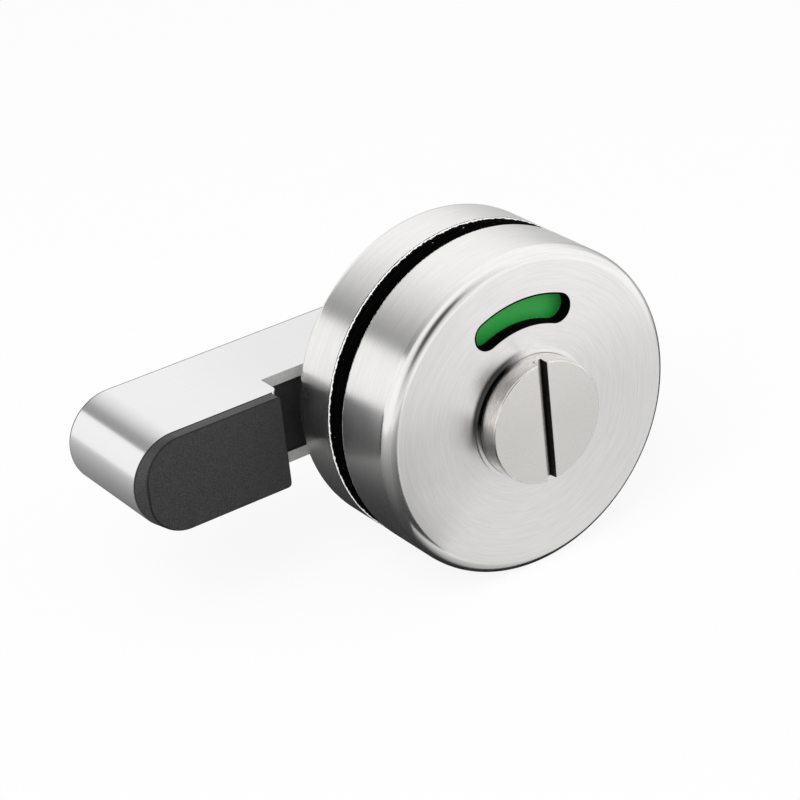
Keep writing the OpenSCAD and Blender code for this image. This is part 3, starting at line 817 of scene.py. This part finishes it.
def plain_steel(name, dark, light, roughness, blotch_size, mirror=1.0):
    """Steel with the blotchy tone of plating, tempering or a saw."""
    finish, tree = new_finish(name)
    place = add_node(tree, "ShaderNodeTexCoord").outputs["Object"]
    blotch = add_node(tree, "ShaderNodeTexNoise", {
        "Vector": place, "Scale": 1 / blotch_size, "Detail": 4.0})
    tone = add_node(tree, "ShaderNodeValToRGB", {"Fac": blotch},
                    stops=((NOISE_LOW, linear(dark)), (NOISE_HIGH, linear(light))))
    gloss = add_node(tree, "ShaderNodeMapRange", {
        "Value": blotch, "From Min": NOISE_LOW, "From Max": NOISE_HIGH,
        "To Min": roughness + BLOTCH_GLOSS, "To Max": roughness - BLOTCH_GLOSS})
    steel = add_node(tree, "ShaderNodeBsdfPrincipled", {
        "Base Color": tone, "Roughness": gloss, "Metallic": mirror})
    add_node(tree, "ShaderNodeOutputMaterial", {"Surface": steel})
    return finish


fixing_steels = {
    plain_steel("zinc_plated_steel", "#B4B7BA", "#CDD0D2", 0.35, 1.5 * MM):
        ("threaded_posts", "fixing_screws", "spindle"),
    plain_steel("blued_spring_steel", "#4C4E52", "#66686C", 0.4, 1.0 * MM):
        ("coin_turn_circlip", "hub_circlip", "spring_washer"),
    plain_steel("black_oxide_steel", "#232325", "#333336", 0.45, 0.8 * MM):
        ("lever_grub_screw",),
}
for finish, names in fixing_steels.items():
    for name in names:
        wear(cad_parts[name], finish)
    print(finish.name, "on", ", ".join(names))
sawn_steel = plain_steel("sawn_lever_steel", "#CFCFCD", "#E4E4E2", 0.55, 0.4 * MM, SAWN_MIRROR)
back_edge_painted_shade = plain_steel("lever_back_edge_painted_shade", "#606060", "#787878", 0.4, 0.6 * MM)
coat(lever_shell, sawn_steel,
     lambda face: near(face.center.y, notch_y) or (near(face.center.x, tab_x) and face.normal.x > 0))
# Painted shade: a darker band along the lever's back edge.
coat(lever_shell, back_edge_painted_shade,
     lambda face: LEVER_EDGE * UNSHADED_BACK_SHARE < lever_back_y - face.center.y < LEVER_EDGE)

# %% [markdown]
# The slot's walls and corners are painted dark as shade, and the middle of its floor is left bright. The
# distance from the slot's middle line therefore sets the tone, with some blotches so that it isn't even.

# %% Coin slot
SLOT_BLOTCH = 0.4 * MM
SLOT_BLOTCH_SHARE = 0.2
SLOT_SHADE_TONES = ((0.35, "#ECE8E2"), (0.6, "#ADA8A0"), (0.85, "#3A3733"), (1.0, "#0C0B0A"))
slot_finish_painted_shade, tree = new_finish("slot_steel_painted_shade")
place = add_node(tree, "ShaderNodeTexCoord").outputs["Object"]
across = add_node(tree, "ShaderNodeSeparateXYZ", {"Vector": place}).outputs["X"]
from_middle = add_node(tree, "ShaderNodeMath", {0: across}, operation="ABSOLUTE")
share = add_node(tree, "ShaderNodeMapRange", {"Value": from_middle, "From Max": half_slot})
blotch = add_node(tree, "ShaderNodeTexNoise", {"Vector": place, "Scale": 1 / SLOT_BLOTCH, "Detail": 3.0})
# Painted shade: the tone darkens from the slot's middle towards its walls.
shade_with_blotches = add_node(tree, "ShaderNodeMath", {0: blotch, 1: SLOT_BLOTCH_SHARE, 2: share},
                operation="MULTIPLY_ADD")
tone = add_node(tree, "ShaderNodeValToRGB", {"Fac": shade_with_blotches},
                stops=[(at, linear(colour)) for at, colour in SLOT_SHADE_TONES])
steel = add_node(tree, "ShaderNodeBsdfPrincipled", {
    "Base Color": tone, "Roughness": 0.55, "Specular IOR Level": 0.2})
add_node(tree, "ShaderNodeOutputMaterial", {"Surface": steel})
coat(coin_turn, slot_finish_painted_shade,
     lambda face: abs(face.center.x) < half_slot + MICRON
     and knob_top_y + SLOT_EASE < face.center.y < slot_floor_y + MICRON)

# %% [markdown]
# A cover's rim is sheared, not brushed. The flat of the rim is painted black, as shade in the gap between
# the roses. Its eased outer edge gets a painted highlight along a ragged burr, with a thin painted dark
# line beyond it. The way in from the rim decides which is which, and noise makes the lines ragged.

# %% Sheared rims
RIM_RAG = 0.34 * MM
RIM_RAG_LENGTH = 0.5 * MM
RIM_LIGHT_AND_SHADE_TONES = (
    (0.0, "#030303"), (0.2, "#030303"), (0.26, "#FAF9F7"),
    (0.68, "#FAF9F7"), (0.76, "#060606"), (1.0, "#060606"))
rim_painted_light, tree = new_finish("sheared_rim_painted_light")
place = add_node(tree, "ShaderNodeTexCoord").outputs["Object"]
height = add_node(tree, "ShaderNodeSeparateXYZ", {"Vector": place}).outputs["Y"]
gap_middle_y = (outside_rim_y + inside_rim_y) / 2
half_gap = (inside_rim_y - outside_rim_y) / 2
offset = add_node(tree, "ShaderNodeMath", {0: height, 1: gap_middle_y}, operation="SUBTRACT")
from_middle = add_node(tree, "ShaderNodeMath", {0: offset}, operation="ABSOLUTE")
rag = add_node(tree, "ShaderNodeTexNoise", {"Vector": place, "Scale": 1 / RIM_RAG_LENGTH, "Detail": 3.0})
ragged = add_node(tree, "ShaderNodeMath", {0: rag, 1: RIM_RAG, 2: from_middle}, operation="MULTIPLY_ADD")
rim_start = half_gap + RIM_RAG / 2
share = add_node(tree, "ShaderNodeMapRange", {
    "Value": ragged, "From Min": rim_start, "From Max": rim_start + RIM_EASE})
tone = add_node(tree, "ShaderNodeValToRGB", {"Fac": share},
                stops=[(at, linear(colour)) for at, colour in RIM_LIGHT_AND_SHADE_TONES])
rim_surface = add_node(tree, "ShaderNodeBsdfPrincipled", {
    "Base Color": tone, "Roughness": 0.7, "Specular IOR Level": 0.1})
add_node(tree, "ShaderNodeOutputMaterial", {"Surface": rim_surface})
# The rim's black, white and black bands are painted shade and a painted highlight.
for cover, rim_y in ((outside_cover, outside_rim_y), (inside_cover, inside_rim_y)):
    coat(cover, rim_painted_light, lambda face: abs(face.center.y - rim_y) < RIM_EASE)

# %% [markdown]
# The floor is a sheet of white paper. It takes shadows as paper does, and it also glows a little towards
# the camera and towards mirrors, because in the picture it is as white as the background.

# %% Floor
FLOOR_SIZE = 6.0
FLOOR_GLOW = 0.9
WHITE = (1.0, 1.0, 1.0, 1.0)
floor_z = cad_box[0].z


def sheet(name, centre, width, length):
    """A flat sheet that belongs to the studio, lying at a height."""
    bpy.ops.object.select_all(action="DESELECT")
    bpy.ops.mesh.primitive_plane_add(size=1, location=centre)
    plane = bpy.context.active_object
    plane.name = name
    plane.scale = (width, length, 1)
    bpy.ops.object.transform_apply(location=True, rotation=True, scale=True)
    return plane


floor = sheet("floor", (0, 0, floor_z), FLOOR_SIZE, FLOOR_SIZE)
floor_paper, tree = new_finish("white_floor_paper")
paper = add_node(tree, "ShaderNodeBsdfDiffuse", {"Color": linear("#F4F4F4")})
glow = add_node(tree, "ShaderNodeEmission", {"Color": WHITE, "Strength": 1.0})
ray = add_node(tree, "ShaderNodeLightPath").outputs
mirrored = add_node(tree, "ShaderNodeMath", {0: ray["Is Glossy Ray"], 1: ray["Is Transmission Ray"]},
                    operation="MAXIMUM")
seen = add_node(tree, "ShaderNodeMath", {0: ray["Is Camera Ray"], 1: mirrored}, operation="MAXIMUM")
share = add_node(tree, "ShaderNodeMath", {0: seen, 1: FLOOR_GLOW}, operation="MULTIPLY")
both = add_node(tree, "ShaderNodeMixShader", {0: share, 1: paper, 2: glow})
add_node(tree, "ShaderNodeOutputMaterial", {"Surface": both})
wear(floor, floor_paper)
print("floor at", round(floor_z / MM, 2), "mm")

# %% [markdown]
# Polished steel has no colour of its own: it shows what stands round it. A photographer therefore sets
# cards round a metal part, and each streak on the roses is the edge of one. Here a long light panel hangs
# above the part and fades towards its left edge, with a greyer strip over the lever. A dark mat lies under
# the part and is darkest next to it, which paints the part's shadow into its reflections. In front of it
# lies a white sheet that darkens towards the rose's foot as painted shadow, with a small tab of the same
# paper to its left. A grey wall stands at the right, and a dark screen stands before the camera. Only
# mirrors see these cards.

# %% Cards for the reflections
PANEL_Z = 70 * MM
PANEL_LEFT = -92 * MM
PANEL_WIDTH = 480 * MM
PANEL_FRONT = -20 * MM
PANEL_LENGTH = 520 * MM
PANEL_GLOW = (
    (-92, 0.22), (-72, 0.26), (-53, 0.42), (-37, 0.63), (-22, 0.80), (-7, 0.95), (10, 1.0), (50, 1.0),
    (90, 0.86), (165, 0.72))
STRIP_CENTRE = (-2 * MM, 124 * MM, 69 * MM)
STRIP_SIZE = (196 * MM, 74 * MM)
STRIP_GLOW = (
    (-100, 0.28), (-86, 0.30), (-68, 0.38), (-54, 0.58), (-40, 0.74), (-25, 0.84), (-7, 0.92), (18, 0.96),
    (34, 0.85), (50, 0.88), (90, 0.80))
MAT_SIZE = 600 * MM
MAT_CENTRE_X = 20 * MM
MAT_GLOW_WITH_PAINTED_SHADOW = ((36, 0.02), (60, 0.07), (92, 0.24), (118, 0.34), (141, 0.42), (190, 0.5), (300, 0.66))
FRONT_LEFT = -10 * MM
FRONT_EDGE = -12.4 * MM
FRONT_SIZE = (460 * MM, 400 * MM)
FRONT_SLANT = (0.5, -1, 0)
TOE_SIZE = (18 * MM, 12 * MM)
FRONT_GLOW_WITH_PAINTED_SHADOW = (
    (2, 0.10), (4.5, 0.22), (7, 0.40), (9, 0.46), (11, 0.54), (14, 0.74), (30, 0.72), (57, 0.68),
    (79, 0.70), (95, 0.76), (110, 0.86), (120, 0.94), (150, 1.0))
WALL_CENTRE = (200 * MM, 310 * MM, 22 * MM)
WALL_SIZE = (580 * MM, 96 * MM)
WALL_GLOW = ((-26, 0.30), (-3, 0.38), (37, 0.55), (70, 0.66))
SCREEN_CENTRE = (-46 * MM, -150 * MM, 84 * MM)
SCREEN_SIZE = 260 * MM
SCREEN_GLOW = ((10, 0.02), (42, 0.05), (52, 0.25), (66, 0.6), (95, 0.8), (130, 0.95))
SHEET_STEP = 0.2 * MM


def stand(name, centre, towards, width, height):
    """A studio sheet that stands at a place and faces a direction."""
    plane = sheet(name, (0, 0, 0), width, height)
    plane.data.transform(Vector(towards).to_track_quat("Z", "Y").to_matrix().to_4x4())
    plane.data.transform(Matrix.Translation(centre))
    return plane


def glowing_paper(name, measure, reference, stops):
    """Paper whose glow follows a length, in mm: the way along a direction or the distance from a point."""
    finish, tree = new_finish(name)
    place = add_node(tree, "ShaderNodeTexCoord").outputs["Object"]
    length = add_node(tree, "ShaderNodeVectorMath", {0: place, 1: reference}, operation=measure)
    low = stops[0][0]
    span = stops[-1][0] - low
    share = add_node(tree, "ShaderNodeMapRange", {
        "Value": length.outputs["Value"], "From Min": low * MM, "From Max": (low + span) * MM})
    tone = add_node(tree, "ShaderNodeValToRGB", {"Fac": share},
                    stops=[((at - low) / span, (level, level, level, 1.0)) for at, level in stops])
    light = add_node(tree, "ShaderNodeEmission", {"Color": tone})
    add_node(tree, "ShaderNodeOutputMaterial", {"Surface": light})
    finish.cycles.emission_sampling = "NONE"
    return finish


def place_card(plane, paper):
    """Papers a card and hides it from everything but reflections."""
    wear(plane, paper)
    plane.visible_camera = False
    plane.visible_diffuse = False
    plane.visible_shadow = False
    plane.visible_transmission = False
    print("card:", plane.name)


panel_centre = (PANEL_LEFT + PANEL_WIDTH / 2, PANEL_FRONT + PANEL_LENGTH / 2, PANEL_Z)
mat_centre = (MAT_CENTRE_X, 0, floor_z + SHEET_STEP)
front_centre = (FRONT_LEFT + FRONT_SIZE[0] / 2, FRONT_EDGE - FRONT_SIZE[1] / 2, floor_z + 2 * SHEET_STEP)
place_card(sheet("light_panel", panel_centre, PANEL_WIDTH, PANEL_LENGTH),
           glowing_paper("panel_paper", "DOT_PRODUCT", (1, 0, 0), PANEL_GLOW))
place_card(sheet("lever_strip", STRIP_CENTRE, *STRIP_SIZE),
           glowing_paper("strip_paper", "DOT_PRODUCT", (1, 0, 0), STRIP_GLOW))
# The mat's glow is darkest round the part: a painted shadow.
place_card(sheet("dark_mat", mat_centre, MAT_SIZE, MAT_SIZE),
           glowing_paper("mat_paper_painted_shadow", "DISTANCE", mat_centre, MAT_GLOW_WITH_PAINTED_SHADOW))
toe_centre = (FRONT_LEFT - TOE_SIZE[0] / 2, FRONT_EDGE - TOE_SIZE[1] / 2, floor_z + 2 * SHEET_STEP)
front_paper_painted_shadow = glowing_paper("front_paper_painted_shadow", "DOT_PRODUCT", FRONT_SLANT, FRONT_GLOW_WITH_PAINTED_SHADOW)
place_card(sheet("front_sheet", front_centre, *FRONT_SIZE), front_paper_painted_shadow)
place_card(sheet("toe_sheet", toe_centre, *TOE_SIZE), front_paper_painted_shadow)
place_card(stand("right_wall", WALL_CENTRE, (-1, 0, 0), *WALL_SIZE),
           glowing_paper("wall_paper", "DOT_PRODUCT", (0, 0, 1), WALL_GLOW))
place_card(stand("camera_screen", SCREEN_CENTRE, (0, 1, 0), SCREEN_SIZE, SCREEN_SIZE),
           glowing_paper("screen_paper", "DISTANCE", SCREEN_CENTRE, SCREEN_GLOW))

# %% [markdown]
# The sky lights the part evenly from all sides. Mirrors see it dimmer low on the right, where the studio's
# wall is, and the camera sees plain white, which is the picture's background.

# %% Sky
AMBIENT = 0.5
SKY_GLOW = ((-180, 0.95), (-40, 0.80), (0, 0.92), (16, 0.97), (90, 1.0), (180, 0.95))
world = bpy.data.worlds.new("white_studio")
bpy.context.scene.world = world
world.use_nodes = True
tree = world.node_tree
tree.nodes.clear()
toward = add_node(tree, "ShaderNodeTexCoord").outputs["Generated"]
xyz = add_node(tree, "ShaderNodeSeparateXYZ", {"Vector": toward}).outputs
angle = add_node(tree, "ShaderNodeMath", {0: xyz["Z"], 1: xyz["X"]}, operation="ARCTAN2")
turn = add_node(tree, "ShaderNodeMapRange", {"Value": angle, "From Min": -math.pi, "From Max": math.pi})
tone = add_node(tree, "ShaderNodeValToRGB", {"Fac": turn},
                stops=[((degrees + 180) / 360, (level, level, level, 1.0)) for degrees, level in SKY_GLOW])
ray = add_node(tree, "ShaderNodeLightPath").outputs
mirrored = add_node(tree, "ShaderNodeMath", {0: ray["Is Glossy Ray"], 1: ray["Is Transmission Ray"]},
                    operation="MAXIMUM")
ambient = add_node(tree, "ShaderNodeBackground", {"Color": WHITE, "Strength": AMBIENT})
studio = add_node(tree, "ShaderNodeBackground", {"Color": tone, "Strength": 1.0})
backdrop = add_node(tree, "ShaderNodeBackground", {"Color": WHITE, "Strength": 1.0})
around = add_node(tree, "ShaderNodeMixShader", {0: mirrored, 1: ambient, 2: studio})
sky = add_node(tree, "ShaderNodeMixShader", {0: ray["Is Camera Ray"], 1: around, 2: backdrop})
add_node(tree, "ShaderNodeOutputWorld", {"Surface": sky})
print("sky has", len(SKY_GLOW), "stops")

# %% [markdown]
# Two softboxes light the plastics and the print and throw the soft shadow on the floor. The steel already
# has its cards, so mirrors don't see the lamps.

# %% Lamps
BOX_SIZE = 0.8
KEY_PLACE = (-0.7, -0.45, 1.0)
KEY_WATTS = 11.0
FILL_PLACE = (0.75, -0.8, 0.35)
FILL_WATTS = 3.6


def softbox(name, place, size, watts):
    """A square lamp that looks at the part and isn't mirrored in it."""
    data = bpy.data.lights.new(name, "AREA")
    data.shape = "SQUARE"
    data.size = size
    data.energy = watts
    lamp = bpy.data.objects.new(name, data)
    lamp.location = place
    lamp.rotation_euler = (-Vector(place)).to_track_quat("-Z", "Y").to_euler()
    lamp.visible_glossy = False
    bpy.context.scene.collection.objects.link(lamp)


softbox("key_softbox", KEY_PLACE, BOX_SIZE, KEY_WATTS)
softbox("fill_softbox", FILL_PLACE, BOX_SIZE, FILL_WATTS)
bpy.context.scene.view_settings.view_transform = "Standard"
